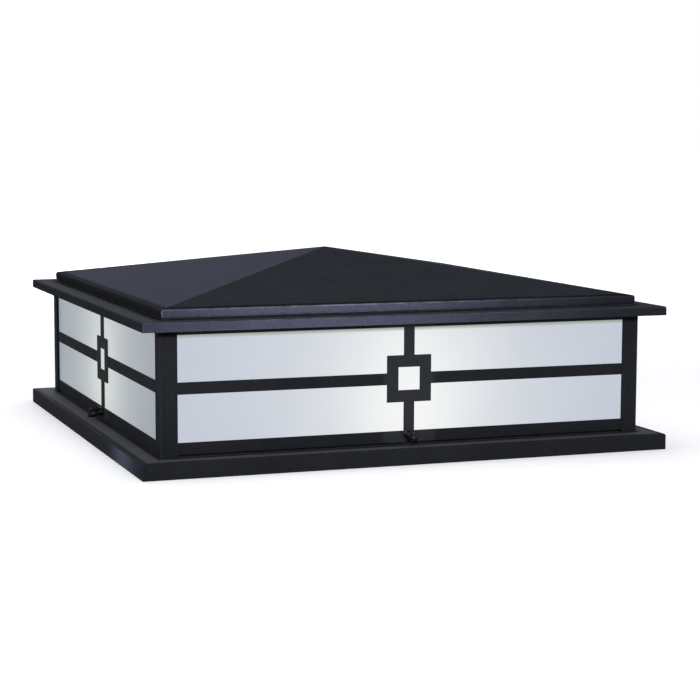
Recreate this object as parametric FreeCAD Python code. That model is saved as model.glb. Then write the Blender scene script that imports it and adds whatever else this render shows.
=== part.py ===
"""Deck post cap light: a square base pan and a lift-off lantern with a low hipped roof.

Millimetres, +Z up. The origin is the centre of the base, on the plane of its lower edges.
Each side's pieces are drawn for the front, which faces -Y, and turned about Z.
"""
import FreeCAD, Part
import math
import os

V = FreeCAD.Vector

# Sheet metal
sheet = 1.6
post_wall = 1.5
frame_wall = 1.5
bend_radius = 2.2
corner_radius = 0.9

# Base
base_ledge = 25.0
base_height = 17.8
gasket_width = 20.0
gasket_thickness = 5.0
gasket_inset = 4.0
mount_spacing = 400.0
mount_hole = 9.0

# Curb and the bosses of the wing screws
curb_height = 18.2
curb_flange = 14.0
boss_diameter = 10.0
boss_length = 14.0
rivet_diameter = 3.2
rivet_head = 6.4
rivet_head_height = 1.0
rivet_tail_height = 2.0
rivet_pitch = 150.0

# Body of the lantern
body_width = 560.0
post_width = 19.1
post_height = 143.8
screen_lift = 3.1
screen_height = 139.0
rail_height = 12.6
bar_height = 12.7
centre_bar_width = 12.0
ring_width = 51.4
ring_hole = 25.4
ring_centre = 70.05
pane_thickness = 3.0
stud_diameter = 4.0
stud_spare = 1.3
left_studs = (28.0, 108.0)
right_studs = (42.0, 94.0)

# Eave and roof
eave_overhang = 23.2
eave_rim = 10.2
eave_ledge = 29.0
roof_setback = 2.6
roof_lip = 9.8
roof_rise = 45.0
roof_flange = 20.0
roof_bend = 2.8
seal_thickness = 1.0
seal_width = 15.0
seal_inset = 3.0
roof_screw_inset = 13.0
roof_screw_length = 9.4

# Wing screws
screw_rise = 10.6
screw_diameter = 5.0
screw_reach = 17.0
washer_diameter = 10.4
washer_thickness = 1.0
wing_radius = 10.2
wing_length = 15.6
wing_thickness = 3.2
wing_saddle = 8.0
hub_diameter = 9.8
hub_height = 7.4
wing_rest_angle = {"front": 150.0, "right": 64.0, "back": 12.0, "left": 38.0}

# Wiring box
box_width = 100.0
box_height = 64.0
box_tab = 13.0
lid_skirt = 3.4
entry_bore = 16.0
grommet_neck = 22.0
grommet_flange = 29.0
grommet_lip = 1.5
box_screw_spacing = 70.0
ground_inset = 16.0
ground_offset = 12.0

# Lamps
lamp_rise = 36.2
holder_length = 36.0
holder_diameter = 42.0
holder_base = 46.0
holder_base_thickness = 5.0
cap_length = 24.0
cap_diameter = 26.2
thread_depth = 0.7
thread_count = 5
globe_diameter = 60.0
globe_length = 84.0
glass_wall = 1.0
neck_diameter = 25.0
nipple_diameter = 10.2
nipple_bore = 5.6
nipple_inside = 6.0
nipple_depth = 4.0

# Wiring
wire_radius = 1.0
wire_pair_offset = 1.5
hot_sag = 18.0
ground_rise = 12.0
neutral_sag = 9.0
nut_cap_length = 17.0
nut_cap_diameter = 11.0
nut_cap_socket = 8.0
nut_cap_offset = 18.0
nut_cap_headroom = 3.0

# Small metric fasteners: thread, head across, head height, nut across flats, nut height
small_thread = 4.0
small_head = 8.0
small_head_height = 2.6
small_nut = 7.0
small_nut_height = 3.2

# Clearances
seat_gap = 0.2
layer_gap = 0.1
end_gap = 0.3
lift_gap = 0.6
running_gap = 0.05
loose_gap = 0.3

# Levels and planes worked out from the sizes above
base_top = base_height
pan_under = base_top - sheet
post_foot = base_top + seat_gap
post_top = post_foot + post_height
eave_top = post_top + sheet
roof_foot = eave_top + seal_thickness
lip_top = roof_foot + roof_lip
body_half = body_width / 2
base_half = body_half + base_ledge
eave_half = body_half + eave_overhang
eave_opening_half = body_half - eave_ledge
roof_half = body_half - roof_setback
screen_foot = base_top + screen_lift
screen_top = screen_foot + screen_height
window_foot = screen_foot + rail_height
window_top = screen_top - rail_height
window_half = body_half - post_width
screen_out = body_half - post_wall - layer_gap
screen_in = screen_out - sheet
pane_out = screen_in - layer_gap
pane_in = pane_out - pane_thickness
frame_out = pane_in - layer_gap
frame_in = frame_out - frame_wall
curb_out = frame_in - lift_gap
boss_face = screen_in - seat_gap
screw_axis = base_top + screw_rise
boss_notch = boss_diameter / 2 + 1.5
shank_notch = screw_diameter / 2 + 0.5
washer_face = screen_out + seat_gap
hub_face = washer_face + washer_thickness + layer_gap
stud_line = frame_in - small_nut / 2 - 1.5
roof_screw_line = body_half - roof_screw_inset
lamp_axis = base_top + lamp_rise
box_half = box_width / 2
box_top = base_top + box_height
rivet_line = curb_out - sheet - curb_flange / 2

sides = ("front", "right", "back", "left")
corners = ("front_left", "front_right", "back_right", "back_left")


def block(x0, y0, z0, x1, y1, z1):
    return Part.makeBox(x1 - x0, y1 - y0, z1 - z0, V(x0, y0, z0))


def square_block(half, z0, z1):
    return block(-half, -half, z0, half, half, z1)


def rod(radius, start, end):
    along = end - start
    return Part.makeCylinder(radius, along.Length, start, along)


def hexagon(across_flats, height, centre, direction):
    """A hexagonal prism that stands on `centre` along `direction`."""
    reach = across_flats / math.sqrt(3)
    angles = [math.radians(60 * step) for step in range(7)]
    wire = Part.makePolygon([V(reach * math.cos(a), reach * math.sin(a), 0) for a in angles])
    prism = Part.Face(wire).extrude(V(0, 0, height))
    prism.Placement = FreeCAD.Placement(centre, FreeCAD.Rotation(V(0, 0, 1), direction))
    return prism


def turned(points, centre, direction):
    """A solid of revolution from (radius, height) points, set on `centre` along `direction`."""
    ring = [V(radius, 0, height) for radius, height in points]
    face = Part.Face(Part.makePolygon(ring + ring[:1]))
    solid = face.revolve(V(0, 0, 0), V(0, 0, 1), 360)
    solid.Placement = FreeCAD.Placement(centre, FreeCAD.Rotation(V(0, 0, 1), direction))
    return solid


def on_side(shape, step):
    """The front's piece, turned to side number `step`."""
    return shape.rotated(V(0, 0, 0), V(0, 0, 1), 90 * step)


def on_all_sides(shape):
    return [on_side(shape, step) for step in range(4)]


def is_level(edge, height):
    return all(abs(vertex.Z - height) < 1e-6 for vertex in edge.Vertexes)


def is_upright(edge):
    first, last = edge.Vertexes[0].Point, edge.Vertexes[-1].Point
    return abs(first.x - last.x) < 1e-6 and abs(first.y - last.y) < 1e-6


def rounded_block(half, z0, z1, bend, corner):
    """A square block with its top edges bent to one radius and its upright edges eased to another."""
    solid = square_block(half, z0, z1)
    solid = solid.makeFillet(bend, [edge for edge in solid.Edges if is_level(edge, z1)])
    return solid.makeFillet(corner, [edge for edge in solid.Edges if is_upright(edge)])


def folded_tray(half, z0, z1):
    """A square sheet with its four rims turned down."""
    inner_radius = max(bend_radius - sheet, 0.2)
    outer = rounded_block(half, z0, z1, bend_radius, corner_radius)
    inner = rounded_block(half - sheet, z0 - sheet, z1 - sheet, inner_radius, inner_radius / 2)
    return outer.cut(inner)


def at_pattern(spacing):
    half = spacing / 2
    return [V(x, y, 0) for x in (-half, half) for y in (-half, half)]


def drill(shape, radius, places, z0, z1):
    return shape.cut([rod(radius, V(p.x, p.y, z0), V(p.x, p.y, z1)) for p in places])


def rivet_places():
    """Rivets along the curb's flange, as many a side as the pitch allows."""
    count = max(int((2 * rivet_line - curb_flange) // rivet_pitch), 1)
    front = [V((i - (count - 1) / 2) * rivet_pitch, -rivet_line, 0) for i in range(count)]
    turns = [FreeCAD.Rotation(V(0, 0, 1), 90 * step) for step in range(4)]
    return [turn.multVec(place) for turn in turns for place in front]


def ground_place():
    return V(box_half - ground_inset, -ground_offset, 0)


def base_pan():
    pan = folded_tray(base_half, 0, base_top)
    low, high = pan_under - 1, base_top + 1
    pan = drill(pan, mount_hole / 2, at_pattern(mount_spacing), low, high)
    pan = drill(pan, grommet_neck / 2 + layer_gap, [V(0, 0, 0)], low, high)
    pan = drill(pan, rivet_diameter / 2 + layer_gap, rivet_places(), low, high)
    pan = drill(pan, small_thread / 2 + layer_gap, at_pattern(box_screw_spacing), low, high)
    return pan


def base_gasket():
    outer = base_half - sheet - gasket_inset
    low = pan_under - gasket_thickness
    ring = square_block(outer, low, pan_under)
    return ring.cut(square_block(outer - gasket_width, low - 1, pan_under + 1))


def curb_frame():
    foot = square_block(curb_out, base_top, base_top + sheet)
    wall = square_block(curb_out, base_top, base_top + curb_height)
    wall = wall.cut(square_block(curb_out - sheet, base_top - 1, base_top + curb_height + 1))
    curb = foot.cut(square_block(curb_out - sheet - curb_flange, base_top - 1, base_top + sheet + 1))
    curb = curb.fuse(wall).removeSplitter()
    hole = rod(boss_diameter / 2 + layer_gap, V(0, -curb_out - 1, screw_axis),
               V(0, sheet - curb_out + 1, screw_axis))
    curb = curb.cut(on_all_sides(hole))
    return drill(curb, rivet_diameter / 2 + layer_gap, rivet_places(), base_top - 1, base_top + sheet + 1)


def rivet(place):
    head_foot = base_top + sheet
    shank = rivet_diameter / 2
    head = rivet_head / 2
    tail = pan_under - rivet_tail_height
    outline = [(0, tail), (shank * 1.2, tail), (shank * 1.4, pan_under), (shank, pan_under),
               (shank, head_foot), (head, head_foot), (head * 0.6, head_foot + rivet_head_height),
               (0, head_foot + rivet_head_height)]
    return turned(outline, V(place.x, place.y, 0), V(0, 0, 1))


def screw_boss():
    face = V(0, -boss_face, screw_axis)
    back = V(0, boss_length - boss_face, screw_axis)
    bore = screw_diameter / 2 + running_gap
    return rod(boss_diameter / 2, face, back).cut(rod(bore, face + V(0, -1, 0), back + V(0, 1, 0)))


def corner_post():
    """The front left post: a folded angle with a screw tab on top and studs for the glazing."""
    corner = -body_half
    post = block(corner, corner, post_foot, corner + post_width, corner + post_width, post_top)
    edge = [e for e in post.Edges if is_upright(e) and abs(e.Vertexes[0].X - corner) < 1e-6
            and abs(e.Vertexes[0].Y - corner) < 1e-6]
    post = post.makeFillet(post_wall, edge)
    inner = corner + post_wall
    post = post.cut(block(inner, inner, post_foot - 1, 0, 0, post_top - post_wall))
    hole = rod(small_thread / 2 + loose_gap, V(-roof_screw_line, -roof_screw_line, post_top - post_wall - 1),
               V(-roof_screw_line, -roof_screw_line, post_top + 1))
    post = post.cut(hole)
    tip = small_nut_height + stud_spare - frame_in
    studs = [rod(stud_diameter / 2, V(-stud_line, inner - layer_gap, screen_foot + rise),
                 V(-stud_line, tip, screen_foot + rise)) for rise in left_studs]
    studs += [rod(stud_diameter / 2, V(inner - layer_gap, -stud_line, screen_foot + rise),
                  V(tip, -stud_line, screen_foot + rise)) for rise in right_studs]
    return post.fuse(studs).removeSplitter()


def stud_holes(clearance, outer, inner):
    """Cutters for the studs through a layer between the planes y = -outer and y = -inner."""
    radius = stud_diameter / 2 + clearance
    holes = []
    for x, rises in ((-stud_line, left_studs), (stud_line, right_studs)):
        holes += [rod(radius, V(x, -outer - 1, screen_foot + rise), V(x, 1 - inner, screen_foot + rise))
                  for rise in rises]
    return holes


def notch(half_width, outer, inner):
    """A slot from below with a round top on the wing screw's axis."""
    slot = block(-half_width, -outer - 1, screen_foot - 1, half_width, 1 - inner, screw_axis)
    return slot.fuse(rod(half_width, V(0, -outer - 1, screw_axis), V(0, 1 - inner, screw_axis)))


def screen():
    """Rails, stiles, bars and the square ring, cut from one sheet."""
    half = screen_in - end_gap
    middle = screen_foot + ring_centre

    def strip(x0, z0, x1, z1):
        return block(x0, -screen_out, z0, x1, -screen_in, z1)

    plate = strip(-half, screen_foot, half, screen_top)
    window = strip(-window_half - end_gap, window_foot, window_half + end_gap, window_top)
    cross = strip(-half, middle - bar_height / 2, half, middle + bar_height / 2)
    cross = cross.fuse([strip(-centre_bar_width / 2, screen_foot, centre_bar_width / 2, screen_top),
                        strip(-ring_width / 2, middle - ring_width / 2,
                              ring_width / 2, middle + ring_width / 2)])
    panes = window.cut(cross)
    hole = strip(-ring_hole / 2, middle - ring_hole / 2, ring_hole / 2, middle + ring_hole / 2)
    cutters = [panes, hole, notch(shank_notch, screen_out, screen_in)]
    return plate.cut(cutters + stud_holes(loose_gap, screen_out, screen_in))


def diffuser():
    half = pane_in - end_gap
    foot = screen_foot + frame_wall + layer_gap
    pane = block(-half, -pane_out, foot, half, -pane_in, screen_top)
    return pane.cut([notch(boss_notch, pane_out, pane_in)] + stud_holes(loose_gap, pane_out, pane_in))


def glazing_frame():
    """A frame behind the pane, with a lip turned out under the pane's lower edge."""
    half = frame_in - end_gap
    frame = block(-half, -frame_out, screen_foot, half, -frame_in, screen_top)
    window = block(-window_half, -frame_out - 1, window_foot, window_half, 1 - frame_in, window_top)
    lip = block(-half, -pane_out, screen_foot, half, -frame_out, screen_foot + frame_wall)
    frame = frame.fuse(lip).cut([window, notch(boss_notch, pane_out, frame_in)])
    return frame.cut(stud_holes(loose_gap, frame_out, frame_in))


def glazing_nuts():
    """The nuts of one side, on the posts' studs."""
    nuts = []
    for x, rises in ((-stud_line, left_studs), (stud_line, right_studs)):
        for rise in rises:
            seat = V(x, -frame_in, screen_foot + rise)
            nut = hexagon(small_nut, small_nut_height, seat, V(0, 1, 0))
            nuts.append(nut.cut(rod(stud_diameter / 2 + layer_gap, seat + V(0, -1, 0), seat + V(0, 9, 0))))
    return nuts


def roof_screw_places():
    line = roof_screw_line
    at_corners = [V(x, y, 0) for x in (-line, line) for y in (-line, line)]
    at_middles = [V(0, -line, 0), V(line, 0, 0), V(0, line, 0), V(-line, 0, 0)]
    return at_corners, at_middles


def all_roof_screw_places():
    at_corners, at_middles = roof_screw_places()
    return at_corners + at_middles


def eave_plate():
    plate = folded_tray(eave_half, eave_top - eave_rim, eave_top)
    plate = plate.cut(square_block(eave_opening_half, post_top - 1, eave_top + 1))
    return drill(plate, small_thread / 2 + loose_gap, all_roof_screw_places(), post_top - 1, eave_top + 1)


def roof_gasket():
    outer = roof_half - seal_inset
    ring = square_block(outer, eave_top, roof_foot)
    ring = ring.cut(square_block(outer - seal_width, eave_top - 1, roof_foot + 1))
    return drill(ring, small_thread / 2 + layer_gap, all_roof_screw_places(), eave_top - 1, roof_foot + 1)


def pyramid(half, foot, rise):
    low = [V(-half, -half, foot), V(half, -half, foot), V(half, half, foot), V(-half, half, foot)]
    apex = V(0, 0, foot + rise)
    faces = [Part.Face(Part.makePolygon(low + low[:1]))]
    for start, end in zip(low, low[1:] + low[:1]):
        faces.append(Part.Face(Part.makePolygon([start, end, apex, start])))
    return Part.Solid(Part.Shell(faces))


def roof_block(half, foot, lip, rise, bend):
    """A square block under a pyramid, with every edge bent to one radius."""
    solid = square_block(half, foot, lip).fuse(pyramid(half, lip, rise)).removeSplitter()
    return solid.makeFillet(bend, solid.Edges)


def roof_shell():
    """A hollow low pyramid on an upright lip, with a flange turned in below."""
    slope = math.atan2(roof_rise, roof_half)
    drop = sheet / math.cos(slope) - sheet * math.tan(slope)
    hollow_half = roof_half - sheet
    hollow_rise = hollow_half * math.tan(slope)
    outer = roof_block(roof_half, roof_foot, lip_top, roof_rise, roof_bend)
    hollow_bend = max(roof_bend - sheet, 0.2)
    hollow = roof_block(hollow_half, roof_foot + sheet, lip_top - drop, hollow_rise, hollow_bend)
    opening = square_block(roof_half - roof_flange, roof_foot - 1, roof_foot + sheet + 1)
    roof = outer.cut([hollow, opening])
    return drill(roof, small_thread / 2 + loose_gap, all_roof_screw_places(),
                 roof_foot - 1, roof_foot + sheet + 1)


def pan_head_screw(seat, direction, length):
    """A pan head below its seat and a shank that runs along `direction`."""
    head = small_head / 2
    outline = [(0, -small_head_height), (head * 0.75, -small_head_height), (head, -small_head_height * 0.5),
               (head, 0), (small_thread / 2, 0), (small_thread / 2, length), (0, length)]
    recess = block(-small_head, -0.5, -small_head_height - 1, small_head, 0.5, -small_head_height * 0.6)
    recess.Placement = FreeCAD.Placement(seat, FreeCAD.Rotation(V(0, 0, 1), direction))
    return turned(outline, seat, direction).cut(recess)


def roof_screws():
    at_corners, at_middles = roof_screw_places()
    seats = [V(p.x, p.y, post_top - post_wall) for p in at_corners]
    seats += [V(p.x, p.y, post_top) for p in at_middles]
    return [pan_head_screw(seat, V(0, 0, 1), roof_screw_length) for seat in seats]


def threaded_nut(seat):
    nut = hexagon(small_nut, small_nut_height, seat, V(0, 0, 1))
    return nut.cut(rod(small_thread / 2 + layer_gap, seat - V(0, 0, 1), seat + V(0, 0, small_nut_height + 1)))


def roof_nuts():
    return [threaded_nut(V(p.x, p.y, roof_foot + sheet)) for p in all_roof_screw_places()]


def washer():
    near = V(0, -washer_face, screw_axis)
    far = near + V(0, -washer_thickness, 0)
    bore = screw_diameter / 2 + loose_gap
    return rod(washer_diameter / 2, near, far).cut(rod(bore, near + V(0, 1, 0), far + V(0, -1, 0)))


def wing_outline():
    """Both ears in one outline: x across, z out from the rail."""
    root = hub_diameter * 0.35
    low_out = V(wing_radius * 0.84, 0, wing_length * 0.40)
    side_out = V(wing_radius, 0, wing_length * 0.68)
    top_out = V(wing_radius * 0.86, 0, wing_length * 0.94)
    top = V(wing_radius * 0.70, 0, wing_length)
    top_in = V(wing_radius * 0.52, 0, wing_length * 0.93)
    saddle = V(0, 0, wing_saddle)
    foot = V(root, 0, 1.0)

    def other(point):
        return V(-point.x, 0, point.z)

    return Part.Wire([
        Part.LineSegment(other(foot), foot).toShape(),
        Part.LineSegment(foot, low_out).toShape(),
        Part.Arc(low_out, side_out, top_out).toShape(),
        Part.Arc(top_out, top, top_in).toShape(),
        Part.Arc(top_in, saddle, other(top_in)).toShape(),
        Part.Arc(other(top_in), other(top), other(top_out)).toShape(),
        Part.Arc(other(top_out), other(side_out), other(low_out)).toShape(),
        Part.LineSegment(other(low_out), other(foot)).toShape()])


def wing_screw(side):
    """Hub, ears and shank in one casting, turned to where it was left when tightened."""
    wings = Part.Face(wing_outline()).extrude(V(0, wing_thickness, 0))
    wings.translate(V(0, -wing_thickness / 2, 0))
    hub = hub_diameter / 2
    shank = screw_diameter / 2
    outline = [(0, -screw_reach), (shank * 0.7, -screw_reach), (shank, -screw_reach + shank * 0.5),
               (shank, 0), (hub, 0), (hub * 0.94, hub_height * 0.6), (hub * 0.6, hub_height),
               (0, hub_height)]
    body = turned(outline, V(0, 0, 0), V(0, 0, 1)).fuse(wings).removeSplitter()
    body = body.rotated(V(0, 0, 0), V(0, 0, 1), wing_rest_angle[side])
    body = body.rotated(V(0, 0, 0), V(1, 0, 0), 90)
    body.translate(V(0, -hub_face, screw_axis))
    return body


def wiring_box():
    inner = box_half - sheet
    case = block(-box_half, -box_half, base_top, box_half, box_half, box_top)
    case = case.cut(block(-inner, -inner, base_top + sheet, inner, inner, box_top + 1))
    reach = inner - box_tab
    tabs = [block(x, y, box_top - sheet, x + box_tab, y + box_tab, box_top)
            for x in (-inner, reach) for y in (-inner, reach)]
    case = case.fuse(tabs).removeSplitter()
    nipple_hole = rod(nipple_diameter / 2 + layer_gap, V(0, -box_half - 1, lamp_axis),
                      V(0, -inner + 1, lamp_axis))
    case = case.cut(on_all_sides(nipple_hole))
    low, high = base_top - 1, base_top + sheet + 1
    case = drill(case, grommet_neck / 2 + layer_gap, [V(0, 0, 0)], low, high)
    case = drill(case, small_thread / 2 + layer_gap, at_pattern(box_screw_spacing), low, high)
    case = drill(case, small_thread / 2 + layer_gap, [ground_place()], low, high)
    return drill(case, small_thread / 2 + layer_gap, lid_screw_places(), box_top - sheet - 1, box_top + 1)


def lid_screw_places():
    return at_pattern(box_width - 2 * sheet - box_tab)


def box_lid():
    half = box_half + sheet + end_gap
    lid = square_block(half, box_top - lid_skirt, box_top + sheet)
    lid = lid.cut(square_block(box_half + end_gap, box_top - lid_skirt - 1, box_top))
    return drill(lid, small_thread / 2 + layer_gap, lid_screw_places(), box_top - 1, box_top + sheet + 1)


def lid_screws():
    seats = [V(p.x, p.y, box_top + sheet) for p in lid_screw_places()]
    return [pan_head_screw(seat, V(0, 0, -1), 3 * sheet) for seat in seats]


def box_screws():
    seats = [V(p.x, p.y, base_top + sheet) for p in at_pattern(box_screw_spacing)]
    return [pan_head_screw(seat, V(0, 0, -1), 3 * sheet) for seat in seats]


def ground_screw():
    seat = ground_place() + V(0, 0, base_top + sheet)
    return pan_head_screw(seat, V(0, 0, -1), sheet)


def wire_grommet():
    bore, neck, flange = entry_bore / 2, grommet_neck / 2, grommet_flange / 2
    floor_top = base_top + sheet
    outline = [(bore, pan_under - grommet_lip), (flange, pan_under - grommet_lip), (flange, pan_under),
               (neck, pan_under), (neck, floor_top), (flange, floor_top),
               (flange, floor_top + grommet_lip), (bore, floor_top + grommet_lip)]
    return turned(outline, V(0, 0, 0), V(0, 0, 1))


def holder_face():
    return box_half + layer_gap


def lampholder():
    """Porcelain body on the box's front wall, open towards the diffuser."""
    back = holder_face()
    body, foot = holder_diameter / 2, holder_base / 2
    socket = cap_diameter / 2 + end_gap
    floor = holder_length - cap_length - end_gap
    nipple = nipple_diameter / 2 + layer_gap
    edge = 2.0
    outline = [(nipple, 0), (foot, 0), (foot, holder_base_thickness), (body, holder_base_thickness + edge),
               (body, holder_length - edge), (body - edge, holder_length), (socket, holder_length),
               (socket, floor), (nipple * 0.5, floor), (nipple * 0.5, nipple_depth + end_gap),
               (nipple, nipple_depth + end_gap)]
    return turned(outline, V(0, -back, lamp_axis), V(0, -1, 0))


def holder_nipple():
    inside = V(0, nipple_inside + sheet - box_half, lamp_axis)
    outside = V(0, -holder_face() - nipple_depth, lamp_axis)
    bore = rod(nipple_bore / 2, inside + V(0, 1, 0), outside + V(0, -1, 0))
    return rod(nipple_diameter / 2, inside, outside).cut(bore)


def nipple_nut():
    seat = V(0, sheet - box_half, lamp_axis)
    nut = hexagon(nipple_diameter * 1.4, small_nut_height, seat, V(0, 1, 0))
    hole = rod(nipple_diameter / 2 + layer_gap, seat - V(0, 1, 0), seat + V(0, small_nut_height + 1, 0))
    return nut.cut(hole)


def lamp_cap():
    """The rolled screw shell of a lamp, with its centre contact."""
    crest = cap_diameter / 2
    trough = crest - thread_depth
    start = cap_length * 0.22
    pitch = (cap_length - start) / (thread_count + 0.5)
    outline = [(0, 0), (crest * 0.3, 0), (crest * 0.42, cap_length * 0.1), (trough, start)]
    for turn in range(thread_count):
        foot = start + turn * pitch
        outline += [(trough, foot + pitch * 0.2), (crest, foot + pitch * 0.45),
                    (crest, foot + pitch * 0.65), (trough, foot + pitch * 0.9)]
    outline += [(trough, cap_length), (0, cap_length)]
    return turned(outline, V(0, -lamp_foot(), lamp_axis), V(0, -1, 0))


def lamp_foot():
    return holder_face() + holder_length - cap_length


def globe_profile(radius, neck, length, foot):
    """Half outline of a pear-shaped globe: a sphere that runs into the neck in one sweep."""
    centre = length - radius
    lean = math.radians(38)
    join = V(radius * math.cos(lean), 0, centre - radius * math.sin(lean))
    waist = V(neck + (join.x - neck) * 0.36, 0, foot + (join.z - foot) * 0.52)
    return [Part.LineSegment(V(0, 0, foot), V(neck, 0, foot)).toShape(),
            Part.Arc(V(neck, 0, foot), waist, join).toShape(),
            Part.Arc(join, V(radius * math.cos(0.35), 0, centre + radius * math.sin(0.35)),
                     V(0, 0, length)).toShape(),
            Part.LineSegment(V(0, 0, length), V(0, 0, foot)).toShape()]


def lamp_globe():
    outer = Part.Wire(globe_profile(globe_diameter / 2, neck_diameter / 2, globe_length, 0))
    inner = Part.Wire(globe_profile(globe_diameter / 2 - glass_wall, neck_diameter / 2 - glass_wall,
                                    globe_length - glass_wall, -glass_wall))
    axis = V(0, 0, 1)
    glass = Part.Face(outer).revolve(V(0, 0, 0), axis, 360)
    glass = glass.cut(Part.Face(inner).revolve(V(0, 0, 0), axis, 360))
    glass.Placement = FreeCAD.Placement(V(0, -lamp_foot() - cap_length, lamp_axis),
                                        FreeCAD.Rotation(axis, V(0, -1, 0)))
    return glass


def wire_path(points):
    """Straight runs joined by tangent arcs, each as large as its two runs allow."""
    edges = []
    start = points[0]
    for before, corner, after in zip(points, points[1:], points[2:]):
        back = (before - corner).normalize()
        on = (after - corner).normalize()
        turn = math.pi - back.getAngle(on)
        reach = 0.45 * min((before - corner).Length, (after - corner).Length)
        radius = reach / math.tan(turn / 2)
        middle = (back + on).normalize()
        hub = corner + middle * (radius / math.cos(turn / 2))
        arc_start, arc_end = corner + back * reach, corner + on * reach
        edges.append(Part.LineSegment(start, arc_start).toShape())
        edges.append(Part.Arc(arc_start, hub - middle * radius, arc_end).toShape())
        start = arc_end
    edges.append(Part.LineSegment(start, points[-1]).toShape())
    return Part.Wire(edges)


def wire(points):
    section = Part.Wire(Part.makeCircle(wire_radius, points[0], points[1] - points[0]))
    return wire_path(points).makePipeShell([section], True, False)


def nut_cap_foot():
    return box_top - nut_cap_headroom - nut_cap_length


def lamp_leads(target, sag):
    """One lead from each lampholder's nipple to the connector above `target`."""
    leads = []
    for step in range(4):
        turn = FreeCAD.Rotation(V(0, 0, 1), 90 * step)
        out = turn.multVec(V(0, -1, 0))
        along = turn.multVec(V(1, 0, 0))
        across = along * math.copysign(wire_pair_offset, target.dot(along))
        spread = turn.multVec(V(wire_radius * 1.7, -wire_radius * 1.7, 0))
        nipple_end = box_half - sheet - nipple_inside
        start = out * (nipple_end + 4) + across + V(0, 0, lamp_axis)
        bend = out * (nipple_end - 10) + across + V(0, 0, lamp_axis)
        low = target + spread + V(0, 0, nut_cap_foot() - sag)
        end = target + spread + V(0, 0, nut_cap_foot() + nut_cap_socket - end_gap)
        leads.append(wire([start, bend, low, end]))
    return leads


def hot_leads():
    return lamp_leads(V(-nut_cap_offset, -nut_cap_offset, 0), hot_sag)


def neutral_leads():
    return lamp_leads(V(nut_cap_offset, nut_cap_offset, 0), neutral_sag)


def ground_lead():
    screw = ground_place()
    target = V(nut_cap_offset, -nut_cap_offset, 0)
    foot = base_top + sheet + small_head_height
    return wire([V(screw.x, screw.y, foot), V(screw.x, screw.y, foot + ground_rise),
                 V(target.x, target.y, nut_cap_foot() - hot_sag),
                 V(target.x, target.y, nut_cap_foot() + nut_cap_socket - end_gap)])


def wire_nuts():
    """Twist-on connectors, open below."""
    wide, narrow = nut_cap_diameter / 2, nut_cap_diameter * 0.32
    socket = wire_radius * 4
    outline = [(socket, 0), (wide, 0), (wide, nut_cap_length * 0.35), (narrow, nut_cap_length * 0.95),
               (narrow * 0.7, nut_cap_length), (0, nut_cap_length), (0, nut_cap_socket),
               (socket, nut_cap_socket)]
    quadrants = ((-1, -1), (1, 1), (1, -1))
    places = [V(x * nut_cap_offset, y * nut_cap_offset, nut_cap_foot()) for x, y in quadrants]
    return [turned(outline, place, V(0, 0, 1)) for place in places]


def save(name, shape):
    """Write one piece, or a group of separate solids, to its own file."""
    solids = shape if isinstance(shape, list) else [shape]
    for solid in solids:
        assert solid.isValid() and solid.Volume > 0, name
    whole = solids[0] if len(solids) == 1 else Part.makeCompound(solids)
    whole.exportStep("parts/" + name + ".step")


def save_on_sides(name, shape):
    for step, side in enumerate(sides):
        save(name + "_" + side, on_side(shape, step))


def main():
    os.makedirs("parts", exist_ok=True)
    save("base_pan", base_pan())
    save("base_gasket", base_gasket())
    save("curb_frame", curb_frame())
    save("curb_rivets", [rivet(place) for place in rivet_places()])
    save("screw_bosses", on_all_sides(screw_boss()))
    save("wiring_box", wiring_box())
    save("box_lid", box_lid())
    save("lid_screws", lid_screws())
    save("box_screws", box_screws())
    save("wire_grommet", wire_grommet())
    save("ground_screw", ground_screw())
    save("wire_nuts", wire_nuts())
    save("hot_leads", hot_leads())
    save("neutral_leads", neutral_leads())
    save("ground_lead", ground_lead())
    save("holder_nipples", on_all_sides(holder_nipple()))
    save("nipple_nuts", on_all_sides(nipple_nut()))
    save_on_sides("lampholder", lampholder())
    save_on_sides("lamp_cap", lamp_cap())
    save_on_sides("lamp_globe", lamp_globe())
    save_on_sides("screen", screen())
    save_on_sides("diffuser", diffuser())
    save_on_sides("glazing_frame", glazing_frame())
    save("glazing_nuts", [nut for one in glazing_nuts() for nut in on_all_sides(one)])
    save("eave_plate", eave_plate())
    save("roof_gasket", roof_gasket())
    save("roof_shell", roof_shell())
    save("roof_screws", roof_screws())
    save("roof_nuts", roof_nuts())
    save_on_sides("washer", washer())
    for step, side in enumerate(sides):
        save("wing_screw_" + side, on_side(wing_screw(side), step))
    for step, corner in enumerate(corners):
        save("corner_post_" + corner, on_side(corner_post(), step))


main()
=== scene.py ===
import bpy
import math
from mathutils import Matrix, Vector


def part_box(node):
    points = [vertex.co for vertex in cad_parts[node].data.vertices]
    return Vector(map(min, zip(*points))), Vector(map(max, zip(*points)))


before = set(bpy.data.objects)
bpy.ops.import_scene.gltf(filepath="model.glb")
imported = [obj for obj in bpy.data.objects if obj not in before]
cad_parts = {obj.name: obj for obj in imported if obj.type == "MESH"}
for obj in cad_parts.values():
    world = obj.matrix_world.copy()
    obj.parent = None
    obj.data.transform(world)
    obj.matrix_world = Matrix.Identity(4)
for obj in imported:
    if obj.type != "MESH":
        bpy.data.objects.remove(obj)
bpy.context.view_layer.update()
print("frame loaded,", len(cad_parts), "pieces")

scene = bpy.context.scene
scene.view_settings.view_transform = "Standard"

sides = ("front", "right", "back", "left")
corners = ("front_left", "front_right", "back_right", "back_left")

# the photograph's viewpoint, found from the edges of the light
viewpoint = {
    "place": (-0.7507, -2.1302, 0.3548),
    "heading": 0.35269,   # radians to the right of straight along +Y
    "tilt": 0.11610,      # radians down
    "roll": 0.00343,
    "lens": 94.97,
    "film": 36.0,
    "farthest": 100,
}


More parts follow.
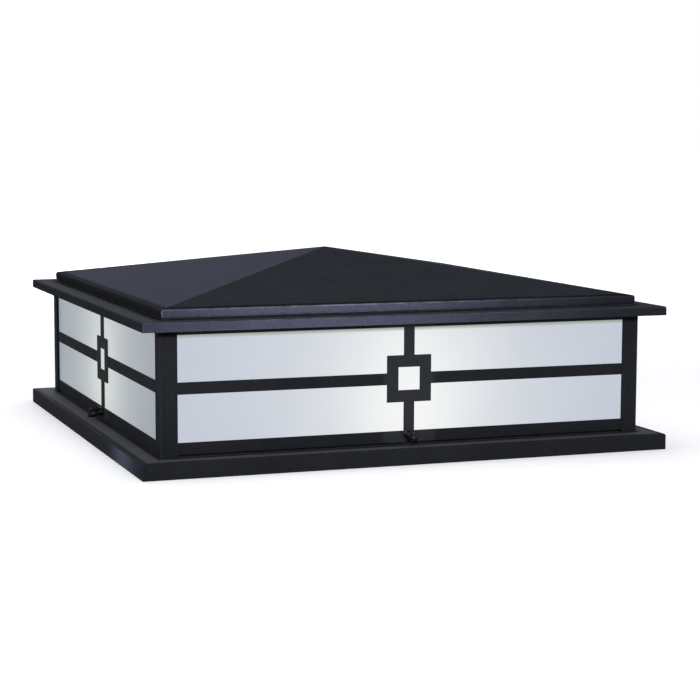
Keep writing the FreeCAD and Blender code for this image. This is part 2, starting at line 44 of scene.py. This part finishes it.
def makeCamera(view):
    data = bpy.data.cameras.new("photoCamera")
    data.lens = view["lens"]
    data.sensor_width = view["film"]
    data.clip_end = view["farthest"]
    camera = bpy.data.objects.new("photoCamera", data)
    scene.collection.objects.link(camera)
    turn = Matrix.Rotation(-view["heading"], 4, "Z")
    turn = turn @ Matrix.Rotation(math.pi / 2 - view["tilt"], 4, "X")
    turn = turn @ Matrix.Rotation(view["roll"], 4, "Z")
    camera.matrix_world = Matrix.Translation(view["place"]) @ turn
    scene.camera = camera


makeCamera(viewpoint)
print("camera set")


def rgb(red, green, blue):
    return (red, green, blue, 1.0)


# small helpers that keep the node trees readable
def addNode(tree, kind, **values):
    node = tree.nodes.new(kind)
    for name, value in values.items():
        label = name.replace("_", " ")
        if label in node.inputs:
            node.inputs[label].default_value = value
        else:
            setattr(node, name, value)
    return node


def feed(tree, socket, value):
    if isinstance(value, bpy.types.NodeSocket):
        tree.links.new(value, socket)
    elif value is not None:
        socket.default_value = value


def feedAll(tree, node, **values):
    for name, value in values.items():
        feed(tree, node.inputs[name.replace("_", " ")], value)


def coordinate(tree, kind):
    return tree.nodes.new("ShaderNodeTexCoord").outputs[kind]


def splitAxes(tree, vector):
    node = tree.nodes.new("ShaderNodeSeparateXYZ")
    feed(tree, node.inputs[0], vector)
    return node.outputs


def calc(tree, operation, first, second=None, clamp=False):
    node = addNode(tree, "ShaderNodeMath", operation=operation, use_clamp=clamp)
    feed(tree, node.inputs[0], first)
    feed(tree, node.inputs[1], second)
    return node.outputs[0]


def vectorCalc(tree, operation, first, second, output="Vector"):
    node = addNode(tree, "ShaderNodeVectorMath", operation=operation)
    feed(tree, node.inputs[0], first)
    feed(tree, node.inputs[1], second)
    return node.outputs[output]


mixInputs = (0, 6, 7)   # a Mix node's factor and its two colours
mixOutput = 2


def mixColor(tree, factor, first, second, mode="MIX"):
    node = addNode(tree, "ShaderNodeMix", data_type="RGBA", blend_type=mode)
    for place, value in zip(mixInputs, (factor, first, second)):
        feed(tree, node.inputs[place], value)
    return node.outputs[mixOutput]


def remap(tree, value, low, high, toLow=0.0, toHigh=1.0):
    node = addNode(tree, "ShaderNodeMapRange")
    feedAll(tree, node, Value=value, From_Min=low, From_Max=high, To_Min=toLow, To_Max=toHigh)
    return node.outputs["Result"]


def noise(tree, size, detail=2.0, roughness=0.5):
    # features about `size` metres across
    node = addNode(tree, "ShaderNodeTexNoise", Detail=detail, Roughness=roughness)
    feed(tree, node.inputs["Vector"], coordinate(tree, "Object"))
    scale = 1 / size if isinstance(size, float) else calc(tree, "DIVIDE", 1.0, size)
    feed(tree, node.inputs["Scale"], scale)
    return node.outputs[0]


noiseRange = (0.3, 0.7)   # nearly all the values of a noise lie between these


def spread(tree, pattern, low=0.0, high=1.0):
    return remap(tree, pattern, *noiseRange, low, high)


def newGroup(name, inputs, outputs):
    tree = bpy.data.node_groups.new(name, "ShaderNodeTree")
    for label, kind, value in inputs:
        socket = tree.interface.new_socket(label, in_out="INPUT", socket_type="NodeSocket" + kind)
        socket.default_value = value
    for label, kind in outputs:
        tree.interface.new_socket(label, in_out="OUTPUT", socket_type="NodeSocket" + kind)
    return tree, tree.nodes.new("NodeGroupInput").outputs, tree.nodes.new("NodeGroupOutput").inputs


def useGroup(tree, group, **values):
    node = addNode(tree, "ShaderNodeGroup", node_tree=group)
    feedAll(tree, node, **values)
    return node.outputs


# in the dictionaries of the shared effects, a pair says where a mask starts and where it is full
coatTexture = {
    "pebbleSize": 0.0042,
    "driftSize": 0.085,
    "fleckScale": 330.0,
    "fleck": (0.30, 0.10),
    "grainTone": (0.78, 1.22),   # darkest and lightest share of the colour
    "driftGloss": 0.05,
    "grainGloss": 0.06,
    "grainHeight": 0.6,
    "pebbleHeight": 0.7,
}


# fine textured powder coat: pebbled grain, pale flecks, slow drifts of tone
def makeCoatGroup(look):
    tree, given, out = newGroup("powderCoat", [
        ("Color", "Color", rgb(0.02, 0.02, 0.02)), ("Fleck Color", "Color", rgb(0.2, 0.2, 0.25)),
        ("Grain", "Float", 0.0012), ("Fleck Share", "Float", 0.1), ("Roughness", "Float", 0.5),
        ("Drift", "Float", 0.2)], [("Color", "Color"), ("Roughness", "Float"), ("Height", "Float")])
    fine = noise(tree, given["Grain"], detail=3.0, roughness=0.6)
    pebble = noise(tree, look["pebbleSize"], detail=1.5, roughness=0.4)
    slow = noise(tree, look["driftSize"], detail=3.0, roughness=0.55)
    flecks = addNode(tree, "ShaderNodeTexVoronoi", Scale=look["fleckScale"])
    feed(tree, flecks.inputs["Vector"], coordinate(tree, "Object"))
    chance = tree.nodes.new("ShaderNodeSeparateColor")
    feed(tree, chance.inputs[0], flecks.outputs["Color"])
    chosen = calc(tree, "LESS_THAN", chance.outputs[0], given["Fleck Share"])
    speck = remap(tree, flecks.outputs["Distance"], *look["fleck"])
    speck = calc(tree, "MULTIPLY", speck, chosen, clamp=True)
    darkest, lightest = (calc(tree, sign, 1.0, given["Drift"]) for sign in ("SUBTRACT", "ADD"))
    level = calc(tree, "MULTIPLY", spread(tree, slow, darkest, lightest),
                 spread(tree, fine, *look["grainTone"]))
    grey = tree.nodes.new("ShaderNodeCombineColor")
    for socket in grey.inputs[:3]:
        feed(tree, socket, level)
    toned = mixColor(tree, 1.0, given["Color"], grey.outputs[0], "MULTIPLY")
    feed(tree, out["Color"], mixColor(tree, speck, toned, given["Fleck Color"]))
    uneven = calc(tree, "ADD", spread(tree, slow, -look["driftGloss"], look["driftGloss"]),
                  spread(tree, fine, -look["grainGloss"], look["grainGloss"]))
    feed(tree, out["Roughness"], calc(tree, "ADD", given["Roughness"], uneven, clamp=True))
    height = calc(tree, "ADD", calc(tree, "MULTIPLY", fine, look["grainHeight"]),
                  calc(tree, "MULTIPLY", pebble, look["pebbleHeight"]))
    feed(tree, out["Height"], height)
    return tree


foldShape = {
    "bend": (0.975, 0.90),     # the largest part of the normal
    "rim": (0.5, 0.2),         # its upright part, either way
    "top": (0.90, 0.97),       # its upright part
    "ahead": (-0.08, -0.14),   # its part along Y
    "patch": (0.35, 0.65),
    "patchSize": 0.014,
}


# where the sheet is bent, the surface faces between two of the main directions; the Bend mask carries the
# painted line along bent edges, mostly a painted highlight
def makeFoldGroup(look):
    tree, given, out = newGroup("foldedEdge", [("Patchiness", "Float", 0.5)],
                                [("Bend", "Float"), ("Rim", "Float"), ("Top", "Float"), ("Ahead", "Float")])
    facing = splitAxes(tree, coordinate(tree, "Normal"))
    flat = [calc(tree, "ABSOLUTE", part) for part in facing]
    most = calc(tree, "MAXIMUM", flat[0], calc(tree, "MAXIMUM", flat[1], flat[2]))
    patch = remap(tree, noise(tree, look["patchSize"], detail=4.0, roughness=0.6), *look["patch"])
    kept = calc(tree, "SUBTRACT", 1.0, calc(tree, "MULTIPLY", given["Patchiness"], patch))
    feed(tree, out["Bend"], calc(tree, "MULTIPLY", remap(tree, most, *look["bend"]), kept, clamp=True))
    feed(tree, out["Rim"], remap(tree, flat[2], *look["rim"]))
    feed(tree, out["Top"], remap(tree, facing["Z"], *look["top"]))
    feed(tree, out["Ahead"], remap(tree, facing["Y"], *look["ahead"]))
    return tree


dustShape = {
    "upward": (0.5, 0.98),
    "film": (0.3, 0.75),
    "filmSize": 0.05,
}


# a thin film that settles on what faces up
def makeDustGroup(look):
    tree, given, out = newGroup("settledDust", [("Amount", "Float", 0.1)], [("Mask", "Float")])
    facing = splitAxes(tree, coordinate(tree, "Normal"))
    upward = remap(tree, facing["Z"], *look["upward"])
    film = remap(tree, noise(tree, look["filmSize"], detail=5.0, roughness=0.65), *look["film"])
    film = calc(tree, "MULTIPLY", upward, film)
    feed(tree, out["Mask"], calc(tree, "MULTIPLY", film, given["Amount"], clamp=True))
    return tree


borderLine = (1.0, 0.35)   # in bands from the line's middle


# a soft line that runs round the square at one half width
def makeBorderGroup(line):
    tree, given, out = newGroup("squareBorder", [("Half Width", "Float", 0.28), ("Band", "Float", 0.006)],
                                [("Mask", "Float")])
    place = splitAxes(tree, coordinate(tree, "Object"))
    reach = calc(tree, "MAXIMUM", calc(tree, "ABSOLUTE", place["X"]), calc(tree, "ABSOLUTE", place["Y"]))
    depth = calc(tree, "ABSOLUTE", calc(tree, "SUBTRACT", given["Half Width"], reach))
    feed(tree, out["Mask"], remap(tree, calc(tree, "DIVIDE", depth, given["Band"]), *line))
    return tree


# what lies above a level, in the shade of the eave; Soft is half the height of the change
def makeShadeGroup():
    tree, given, out = newGroup("aboveLevel", [("Level", "Float", 0.15), ("Soft", "Float", 0.002)],
                                [("Mask", "Float")])
    height = splitAxes(tree, coordinate(tree, "Object"))["Z"]
    over = calc(tree, "DIVIDE", calc(tree, "SUBTRACT", height, given["Level"]), given["Soft"])
    feed(tree, out["Mask"], remap(tree, over, -1.0, 1.0))
    return tree


bandEdge = (0.003, -0.003)   # metres beyond the half width


# the band down the middle of a side, where bar and ring lie
def makeMiddleGroup(edge):
    tree, given, out = newGroup("middleBand", [("Half Width", "Float", 0.03)], [("Mask", "Float")])
    place = splitAxes(tree, coordinate(tree, "Object"))
    along = calc(tree, "MINIMUM", calc(tree, "ABSOLUTE", place["X"]), calc(tree, "ABSOLUTE", place["Y"]))
    feed(tree, out["Mask"], remap(tree, calc(tree, "SUBTRACT", along, given["Half Width"]), *edge))
    return tree


sheenFacing = (-0.45, -0.75)   # the normal's part towards the side that carries the painted sheen


# a painted sheen: pale light painted on upright faces, strongest round one place; Turn 0 looks to the
# front, 1 to the left
def makePaintedSheenGroup(facingEdge):
    tree, given, out = newGroup("paintedSheen", [("Centre", "Float", -0.10), ("Reach", "Float", 0.22),
                                              ("Turn", "Float", 0.0)], [("Mask", "Float")])
    facing, place = (splitAxes(tree, coordinate(tree, kind)) for kind in ("Normal", "Object"))
    ahead = remap(tree, given["Turn"], 0.0, 1.0, facing["Y"], facing["X"])
    along = remap(tree, given["Turn"], 0.0, 1.0, place["X"], place["Y"])
    away = calc(tree, "DIVIDE", calc(tree, "SUBTRACT", along, given["Centre"]), given["Reach"])
    pool = calc(tree, "EXPONENT", calc(tree, "MULTIPLY", calc(tree, "MULTIPLY", away, away), -1.0))
    feed(tree, out["Mask"], calc(tree, "MULTIPLY", pool, remap(tree, ahead, *facingEdge), clamp=True))
    return tree


glowCloud = {
    "size": 0.13,
    "swing": 0.04,
}


# light behind an opal pane: a bright pool round a centre, which falls off to the ends
def makeGlowGroup(cloud):
    tree, given, out = newGroup("opalGlow", [
        ("Centre", "Vector", (0, 0, 0)), ("Reach", "Vector", (1, 1, 1)),
        ("Core Color", "Color", rgb(1, 1, 1)), ("Far Color", "Color", rgb(0.5, 0.5, 0.5)),
        ("Shade Color", "Color", rgb(0.3, 0.3, 0.2)), ("Shade", "Float", 0.0)], [("Color", "Color")])
    away = vectorCalc(tree, "SUBTRACT", coordinate(tree, "Object"), given["Centre"])
    away = vectorCalc(tree, "DIVIDE", away, given["Reach"])
    square = vectorCalc(tree, "DOT_PRODUCT", away, away, "Value")
    pool = calc(tree, "DIVIDE", 1.0, calc(tree, "ADD", 1.0, square))
    cloudy = spread(tree, noise(tree, cloud["size"]), -cloud["swing"], cloud["swing"])
    pool = calc(tree, "ADD", pool, cloudy, clamp=True)
    glow = mixColor(tree, pool, given["Far Color"], given["Core Color"])
    feed(tree, out["Color"], mixColor(tree, given["Shade"], glow, given["Shade Color"]))
    return tree


coatGroup = makeCoatGroup(coatTexture)
foldGroup = makeFoldGroup(foldShape)
dustGroup = makeDustGroup(dustShape)
borderGroup = makeBorderGroup(borderLine)
shadeGroup = makeShadeGroup()
middleGroup = makeMiddleGroup(bandEdge)
paintedSheenGroup = makePaintedSheenGroup(sheenFacing)
glowGroup = makeGlowGroup(glowCloud)
print("shared effects made")


def newMaterial(name):
    material = bpy.data.materials.new(name)
    material.use_nodes = True
    tree = material.node_tree
    return material, tree, tree.nodes["Principled BSDF"]


def addRelief(tree, shader, height, strength, depth):
    bump = addNode(tree, "ShaderNodeBump", Strength=strength, Distance=depth)
    feed(tree, bump.inputs["Height"], height)
    feed(tree, shader.inputs["Normal"], bump.outputs[0])


def onSides(stem):
    return [stem + "_" + side for side in sides]


def dress(names, material):
    for name in names:
        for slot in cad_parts[name].material_slots:
            slot.material = material


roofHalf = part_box("roof_shell")[1][0]
postHalf, postTop = (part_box("corner_post_front_right")[1][axis] for axis in (0, 2))
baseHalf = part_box("base_pan")[1][0]
bendReach = 0.003   # how far in from a sheet's side its bend ends

# the plain coat; each painted piece says below what differs
coatLook = {
    "color": rgb(0.0125, 0.0135, 0.0160),
    "top": None,          # colour of what faces up, where it differs: painted light that makes upward faces lighter
    "shadedSlopeAhead": None,     # painted shade: a darker colour for the slope that looks to the front
    "shadeDepth": None,   # how far below the posts' top the eave keeps the light off
    "shadeSoft": 0.001,
    "sheen": None,        # colour of the painted sheen on a rim; the next colour is the painted highlight on its edges
    "sheenEdge": rgb(0.12, 0.125, 0.165),
    "sheenCentre": -0.10,
    "sheenReach": 0.22,
    "sheenTurn": 0.0,     # 0 for the front rim, 1 for the left one
    "middle": None,       # colour down the middle of each side
    "middleHalf": 0.03,
    "fleck": rgb(0.038, 0.040, 0.050),
    "fleckShare": 0.05,
    # painted highlight along bent edges, laid on in this share and broken into patches
    "edge": rgb(0.055, 0.060, 0.080),
    "edgeShare": 0.7,
    "patchiness": 0.6,
    # colour of painted shade: the border lines and the shade under the eave
    "paintedShadeColor": rgb(0.004, 0.004, 0.005),
    "borders": (),        # half widths where a line of painted shade runs round
    "borderBand": 0.0045,
    "borderShare": 0.6,
    "grain": 0.0011,
    "drift": 0.12,
    "dust": 0.05,
    "dustColor": rgb(0.10, 0.105, 0.115),
    "roughness": 0.72,
    "gloss": 0.012,
    "relief": 0.35,
    "reliefDepth": 0.0004,
}


def coatMaterial(name, changes):
    look = {**coatLook, **changes}
    material, tree, shader = newMaterial(name)
    fold = useGroup(tree, foldGroup, Patchiness=look["patchiness"])
    body, edge, top = look["color"], look["edge"], look["top"]
    # painted sheen: pale light painted on upright rims round one place, and a brighter painted highlight on
    # their bent edges
    if look["sheen"]:
        sheen = useGroup(tree, paintedSheenGroup, Centre=look["sheenCentre"], Reach=look["sheenReach"],
                         Turn=look["sheenTurn"])["Mask"]
        body = mixColor(tree, fold["Rim"], body, mixColor(tree, sheen, body, look["sheen"]))
        edge = mixColor(tree, sheen, edge, look["sheenEdge"])
    # painted light: upward faces lighter, and on the roof the slope to the front painted darker
    if look["shadedSlopeAhead"]:
        top = mixColor(tree, fold["Ahead"], top, look["shadedSlopeAhead"])
    if top:
        body = mixColor(tree, fold["Top"], body, top)
    if look["middle"]:
        middle = useGroup(tree, middleGroup, Half_Width=look["middleHalf"])["Mask"]
        body = mixColor(tree, middle, body, look["middle"])
    coat = useGroup(tree, coatGroup, Color=body, Fleck_Color=look["fleck"], Grain=look["grain"],
                    Fleck_Share=look["fleckShare"], Roughness=look["roughness"], Drift=look["drift"])
    color = coat["Color"]
    # lines of painted shade on upward faces, at the given half widths
    for half in look["borders"]:
        line = useGroup(tree, borderGroup, Half_Width=half, Band=look["borderBand"])["Mask"]
        line = calc(tree, "MULTIPLY", line, calc(tree, "MULTIPLY", fold["Top"], look["borderShare"]))
        color = mixColor(tree, line, color, look["paintedShadeColor"])
    # the painted line along bent edges: a painted highlight where the edge colour is lighter than the face,
    # a painted dark line where it is darker
    color = mixColor(tree, calc(tree, "MULTIPLY", fold["Bend"], look["edgeShare"]), color, edge)
    if look["shadeDepth"]:
        shade = useGroup(tree, shadeGroup, Level=postTop - look["shadeDepth"], Soft=look["shadeSoft"])
        color = mixColor(tree, shade["Mask"], color, look["paintedShadeColor"])
    dust = useGroup(tree, dustGroup, Amount=look["dust"])["Mask"]
    feedAll(tree, shader, Base_Color=mixColor(tree, dust, color, look["dustColor"]),
            Roughness=coat["Roughness"], Specular_IOR_Level=look["gloss"])
    addRelief(tree, shader, coat["Height"], look["relief"], look["reliefDepth"])
    return material


# the base: its top painted lighter, lines of painted shade round the foot of the walls and along the outer
# bend, and a painted sheen on the left rim near its front end
baseLook = {
    "top": rgb(0.064, 0.067, 0.070),
    "borders": (postHalf, baseHalf - bendReach),
    "borderBand": 0.005,
    "borderShare": 0.85,
    "edgeShare": 0.0,
    "sheen": rgb(0.058, 0.064, 0.100),
    "sheenCentre": -0.215,
    "sheenReach": 0.045,
    "sheenTurn": 1.0,
}
dress(["base_pan"], coatMaterial("basePaint", baseLook))

# the posts: painted shade below the eave, and a faint painted highlight along their edges
postLook = {
    "edgeShare": 0.15,
    "shadeDepth": 0.0160,
}
dress(["corner_post_" + corner for corner in corners], coatMaterial("postPaint", postLook))

screenLook = {
    "edgeShare": 0.0,
    "middle": rgb(0.021, 0.0225, 0.0245),
}
dress(onSides("screen"), coatMaterial("screenPaint", screenLook))

# the eave: its top painted lighter, a painted highlight along its edges, a line of painted shade where the
# roof's lip stands, and a painted sheen on the front rim
eaveLook = {
    "top": rgb(0.025, 0.028, 0.036),
    "sheen": rgb(0.058, 0.061, 0.088),
    "edge": rgb(0.030, 0.032, 0.042),
    "borders": (roofHalf,),
    "borderBand": 0.010,
    "borderShare": 0.9,
    "fleck": rgb(0.06, 0.063, 0.085),
    "fleckShare": 0.10,
    "roughness": 0.85,
    "gloss": 0.006,
}
dress(["eave_plate"], coatMaterial("eavePaint", eaveLook))

# the roof: its slopes painted lighter than the lip, the front slope painted darker, a painted dark line
# along the lower fold, and a painted sheen on the front lip with a bright painted highlight on its top edge
roofLook = {
    "top": rgb(0.033, 0.037, 0.052),
    "shadedSlopeAhead": rgb(0.0165, 0.0195, 0.0240),
    "sheen": rgb(0.080, 0.085, 0.123),
    "sheenEdge": rgb(0.22, 0.225, 0.29),
    "edge": rgb(0.014, 0.015, 0.019),
    "borders": (roofHalf - bendReach,),
    "borderBand": 0.008,
    "borderShare": 0.9,
    "fleck": rgb(0.05, 0.053, 0.07),
    "fleckShare": 0.06,
    "grain": 0.0016,
    "roughness": 0.88,
    "gloss": 0.004,
    "relief": 0.15,
}
dress(["roof_shell"], coatMaterial("roofPaint", roofLook))

innerLook = {
    "dust": 0.0,
}
dress(["curb_frame", "screw_bosses"] + onSides("glazing_frame"), coatMaterial("innerPaint", innerLook))

# the wing screws: near black, with a faint painted highlight along their edges
screwLook = {
    "color": rgb(0.005, 0.005, 0.006),
    "edge": rgb(0.012, 0.012, 0.013),
    "fleckShare": 0.0,
    "dust": 0.0,
    "roughness": 0.30,
    "gloss": 0.12,
    "relief": 0.1,
}
dress(onSides("wing_screw") + onSides("washer"), coatMaterial("screwPaint", screwLook))
print("coated pieces dressed")

# the pool in the middle of each pane, and what it falls off to; the side panes' glow is painted dimmer than
# the front's, the left one most
faceGlow = {
    "front": {"core": rgb(0.885, 0.895, 0.88), "far": rgb(0.475, 0.515, 0.60)},
    "right": {"core": rgb(0.80, 0.83, 0.85), "far": rgb(0.42, 0.47, 0.56)},
    "back": {"core": rgb(0.83, 0.86, 0.87), "far": rgb(0.44, 0.49, 0.58)},
    "left": {"core": rgb(0.62, 0.65, 0.64), "far": rgb(0.27, 0.30, 0.34)},
}
opalLook = {
    "lampHeight": 0.062,
    "alongReach": 0.095,    # how far from the lamp core and far colour are mixed half and half
    "heightReach": 0.15,
    "strength": 1.0,
    "shade": rgb(0.30, 0.33, 0.28),
    "shadeDepth": 0.0171,   # how far below the posts' top the eave keeps the light off
    "shadeSoft": 0.002,
    "surface": rgb(0.03, 0.032, 0.034),
    "gloss": 0.02,
    "roughness": (0.32, 0.42),
    "smearSize": 0.004,
    "waveSize": 0.009,
    "relief": 0.08,
    "reliefDepth": 0.0003,
}


def opalMaterial(side, look):
    material, tree, shader = newMaterial("opal_" + side)
    low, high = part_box("diffuser_" + side)
    centre = [(a + b) / 2 for a, b in zip(low, high)]
    centre[2] = look["lampHeight"]
    along = look["alongReach"]
    shade = useGroup(tree, shadeGroup, Level=postTop - look["shadeDepth"], Soft=look["shadeSoft"])["Mask"]
    glow = useGroup(tree, glowGroup, Centre=centre, Reach=(along, along, look["heightReach"]),
                    Core_Color=faceGlow[side]["core"], Far_Color=faceGlow[side]["far"],
                    Shade_Color=look["shade"], Shade=shade)["Color"]
    smear = spread(tree, noise(tree, look["smearSize"], detail=3.0), *look["roughness"])
    feedAll(tree, shader, Emission_Color=glow, Emission_Strength=look["strength"],
            Base_Color=look["surface"], Specular_IOR_Level=look["gloss"], Roughness=smear)
    addRelief(tree, shader, noise(tree, look["waveSize"], detail=3.0), look["relief"], look["reliefDepth"])
    return material


for side in sides:
    dress(["diffuser_" + side], opalMaterial(side, opalLook))
print("panes dressed")

mottleLook = {
    "metal": 0.0,
    "relief": 0.1,
    "reliefDepth": 0.0002,
    "glossSize": 2.3,      # times the mottle's size
    "glossSwing": 0.07,
}
# small hardware: dark and light tone, size of the mottle, then what differs from mottleLook
hardware = {
    "foamRubber": {
        "pieces": ["base_gasket", "roof_gasket", "wire_grommet"],
        "dark": rgb(0.010, 0.010, 0.011), "light": rgb(0.022, 0.022, 0.024), "size": 0.0009,
        "roughness": 0.88, "relief": 0.6,
    },
    "zincSteel": {
        "pieces": ["curb_rivets", "lid_screws", "box_screws", "holder_nipples", "nipple_nuts",
                   "glazing_nuts", "roof_screws", "roof_nuts"],
        "dark": rgb(0.50, 0.50, 0.48), "light": rgb(0.62, 0.62, 0.60), "size": 0.0016,
        "roughness": 0.32, "metal": 1.0,
    },
    "boxSteel": {
        "pieces": ["wiring_box", "box_lid"],
        "dark": rgb(0.34, 0.35, 0.36), "light": rgb(0.52, 0.53, 0.55), "size": 0.014,
        "roughness": 0.42, "metal": 1.0,
    },
    "porcelain": {
        "pieces": onSides("lampholder"),
        "dark": rgb(0.80, 0.78, 0.73), "light": rgb(0.86, 0.85, 0.81), "size": 0.012,
        "roughness": 0.16, "relief": 0.05,
    },
    "lampBrass": {
        "pieces": onSides("lamp_cap"),
        "dark": rgb(0.62, 0.50, 0.30), "light": rgb(0.72, 0.60, 0.38), "size": 0.004,
        "roughness": 0.28, "metal": 1.0,
    },
    "blackWire": {
        "pieces": ["hot_leads"],
        "dark": rgb(0.012, 0.012, 0.012), "light": rgb(0.02, 0.02, 0.02), "size": 0.003,
        "roughness": 0.4,
    },
    "whiteWire": {
        "pieces": ["neutral_leads"],
        "dark": rgb(0.72, 0.71, 0.67), "light": rgb(0.79, 0.78, 0.75), "size": 0.003,
        "roughness": 0.4,
    },
    "greenWire": {
        "pieces": ["ground_lead", "ground_screw"],
        "dark": rgb(0.02, 0.19, 0.05), "light": rgb(0.03, 0.25, 0.07), "size": 0.003,
        "roughness": 0.4,
    },
    "connectorPlastic": {
        "pieces": ["wire_nuts"],
        "dark": rgb(0.62, 0.13, 0.02), "light": rgb(0.70, 0.17, 0.03), "size": 0.003,
        "roughness": 0.38,
    },
}


def mottledMaterial(name, changes):
    look = {**mottleLook, **changes}
    material, tree, shader = newMaterial(name)
    mottle = spread(tree, noise(tree, look["size"], detail=4.0, roughness=0.6))
    gloss = spread(tree, noise(tree, look["size"] * look["glossSize"], detail=3.0),
                   look["roughness"] - look["glossSwing"], look["roughness"] + look["glossSwing"])
    feedAll(tree, shader, Base_Color=mixColor(tree, mottle, look["dark"], look["light"]),
            Roughness=gloss, Metallic=look["metal"])
    addRelief(tree, shader, mottle, look["relief"], look["reliefDepth"])
    return material


for name, look in hardware.items():
    dress(look["pieces"], mottledMaterial(name, look))

globeLook = {
    "glass": rgb(0.85, 0.84, 0.80),
    "roughness": (0.28, 0.40),
    "frostSize": 0.003,
    "dim": rgb(0.94, 0.90, 0.80),
    "bright": rgb(1.0, 0.97, 0.90),
    "glowSize": 0.05,
    "strength": 0.9,
}


def globeMaterial(look):
    material, tree, shader = newMaterial("lampGlass")
    frost = spread(tree, noise(tree, look["frostSize"], detail=3.0), *look["roughness"])
    warm = spread(tree, noise(tree, look["glowSize"]))
    feedAll(tree, shader, Base_Color=look["glass"], Roughness=frost, Emission_Strength=look["strength"],
            Emission_Color=mixColor(tree, warm, look["dim"], look["bright"]))
    return material


dress(onSides("lamp_globe"), globeMaterial(globeLook))
print("inner pieces dressed")

studio = {
    "floorHalf": 40.0,
    "floorColor": rgb(0.86, 0.86, 0.87),
    "floorRoughness": 0.9,
    "nearLift": 0.22,     # glow that the camera sees: low at the light, where its shadow has to show,
    "farLift": 1.0,       # and full far off, so that the open floor is as white as the air
    "nearReach": 0.8,
    "farReach": 4.0,
    "surround": 0.44,
    "mirrored": 1.0,
}


def makeFloor():
    mesh = bpy.data.meshes.new("studioFloor")
    reach = studio["floorHalf"]
    mesh.from_pydata([(-reach, -reach, 0), (reach, -reach, 0), (reach, reach, 0), (-reach, reach, 0)],
                     [], [(0, 1, 2, 3)])
    floor = bpy.data.objects.new("studioFloor", mesh)
    scene.collection.objects.link(floor)
    material, tree, shader = newMaterial("studioFloor")
    seen = tree.nodes.new("ShaderNodeLightPath").outputs["Is Camera Ray"]
    here = coordinate(tree, "Object")
    away = calc(tree, "SQRT", vectorCalc(tree, "DOT_PRODUCT", here, here, "Value"))
    lift = remap(tree, away, studio["nearReach"], studio["farReach"], studio["nearLift"], studio["farLift"])
    feedAll(tree, shader, Base_Color=studio["floorColor"], Roughness=studio["floorRoughness"],
            Specular_IOR_Level=0.0, Emission_Color=rgb(1, 1, 1),
            Emission_Strength=calc(tree, "MULTIPLY", seen, lift))
    mesh.materials.append(material)


def makeWorld():
    world = bpy.data.worlds.new("studioAir")
    scene.world = world
    world.use_nodes = True
    tree = world.node_tree
    path = tree.nodes.new("ShaderNodeLightPath").outputs
    straight = calc(tree, "MAXIMUM", path["Is Camera Ray"], path["Is Transmission Ray"])
    level = remap(tree, path["Is Glossy Ray"], 0.0, 1.0, studio["surround"], studio["mirrored"])
    level = remap(tree, straight, 0.0, 1.0, level, 1.0)
    feedAll(tree, tree.nodes["Background"], Color=rgb(1, 1, 1), Strength=level)


lampTarget = Vector((0, 0, 0.1))
lamps = {
    "frontPanel": {"place": (-0.25, -1.75, 0.54), "size": (0.8, 0.3), "power": 19.5,
                   "color": (0.93, 0.94, 1.0)},
    "backPanel": {"place": (0.0, 2.8, 0.85), "size": (1.6, 0.4), "power": 26.0,
                  "color": (0.90, 0.94, 1.0)},
    "leftPanel": {"place": (-2.4, -0.3, 0.9), "size": (1.2, 0.8), "power": 16.0,
                  "color": (0.95, 0.97, 1.0)},
    "topPanel": {"place": (0.0, 0.6, 2.6), "size": (2.4, 2.4), "power": 26.0,
                 "color": (1.0, 1.0, 1.0)},
}


def makeLamp(name, lamp):
    data = bpy.data.lights.new(name, "AREA")
    data.shape = "RECTANGLE"
    data.size, data.size_y = lamp["size"]
    data.energy = lamp["power"]
    data.color = lamp["color"]
    light = bpy.data.objects.new(name, data)
    scene.collection.objects.link(light)
    aim = lampTarget - Vector(lamp["place"])
    light.location = lamp["place"]
    light.rotation_euler = aim.to_track_quat("-Z", "Y").to_euler()
    light.visible_camera = False


makeFloor()
makeWorld()
for name, lamp in lamps.items():
    makeLamp(name, lamp)
print("studio lit")
